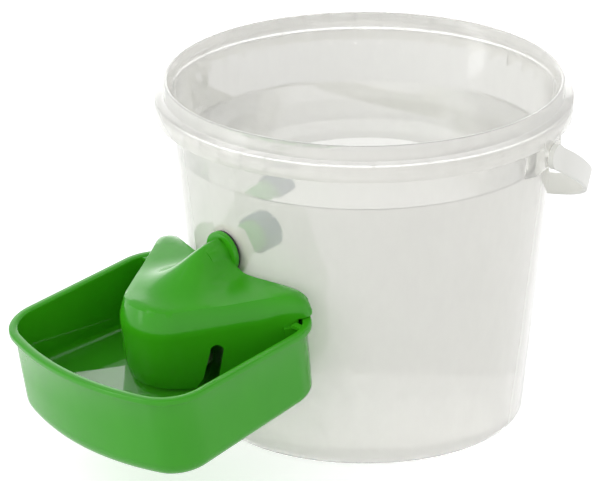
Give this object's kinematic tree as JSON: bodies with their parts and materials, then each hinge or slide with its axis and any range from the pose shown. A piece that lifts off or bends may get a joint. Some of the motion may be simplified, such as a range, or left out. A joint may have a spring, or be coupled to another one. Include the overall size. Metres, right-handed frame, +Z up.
{
  "type": "poultry drinker",
  "caption": "Translucent bucket with a bail handle and a float-valve drinking bowl clipped under a hood that is screwed through the bucket's wall.",
  "frame": {"origin": "centre of the bucket's flat base, on the floor", "axes": "+Z up along the bucket's axis, -Y from the bucket's axis towards the drinking bowl, +X to the right as seen from the bowl's side looking along +Y"},
  "size_m": [0.2357, 0.3237, 0.1902],
  "materials": {
    "natural_pp": "natural translucent polypropylene, satin",
    "bail_pp": "natural polypropylene, satin",
    "green_pp": "leaf green moulded polypropylene, glossy",
    "black_rubber": "matt",
    "pale_rubber": "matt",
    "pale_nylon": "satin",
    "slate_pp": "satin",
    "acetal": "satin",
    "stainless": "drawn",
    "float_foam": "matt"
  },
  "bodies": {
    "drinker_body": {"bucket": "natural_pp", "bowl": "green_pp", "valve_hood": "green_pp", "outer_gasket": "black_rubber", "inner_washer": "pale_rubber", "clamp_nut": "pale_nylon", "inlet_strainer": "slate_pp", "valve_nozzle": "acetal", "pivot_pin": "stainless"},
    "bail": {"bail_handle": "bail_pp"},
    "float_lever": {"float_arm": "acetal", "valve_seal": "black_rubber", "float": "float_foam"}
  },
  "joints": [
    {"name": "bail_swing", "type": "hinge", "parent": "drinker_body", "child": "bail", "pos_m": [0, 0, 0.164], "axis": [0.9397, 0.342, 0], "range_deg": [0, 218]},
    {"name": "float_lift", "type": "hinge", "parent": "drinker_body", "child": "float_lever", "pos_m": [-0.00026, -0.11886, 0.09674], "axis": [-0.9999, -0.0015, 0.0156], "range_deg": [0, 9]}
  ]
}
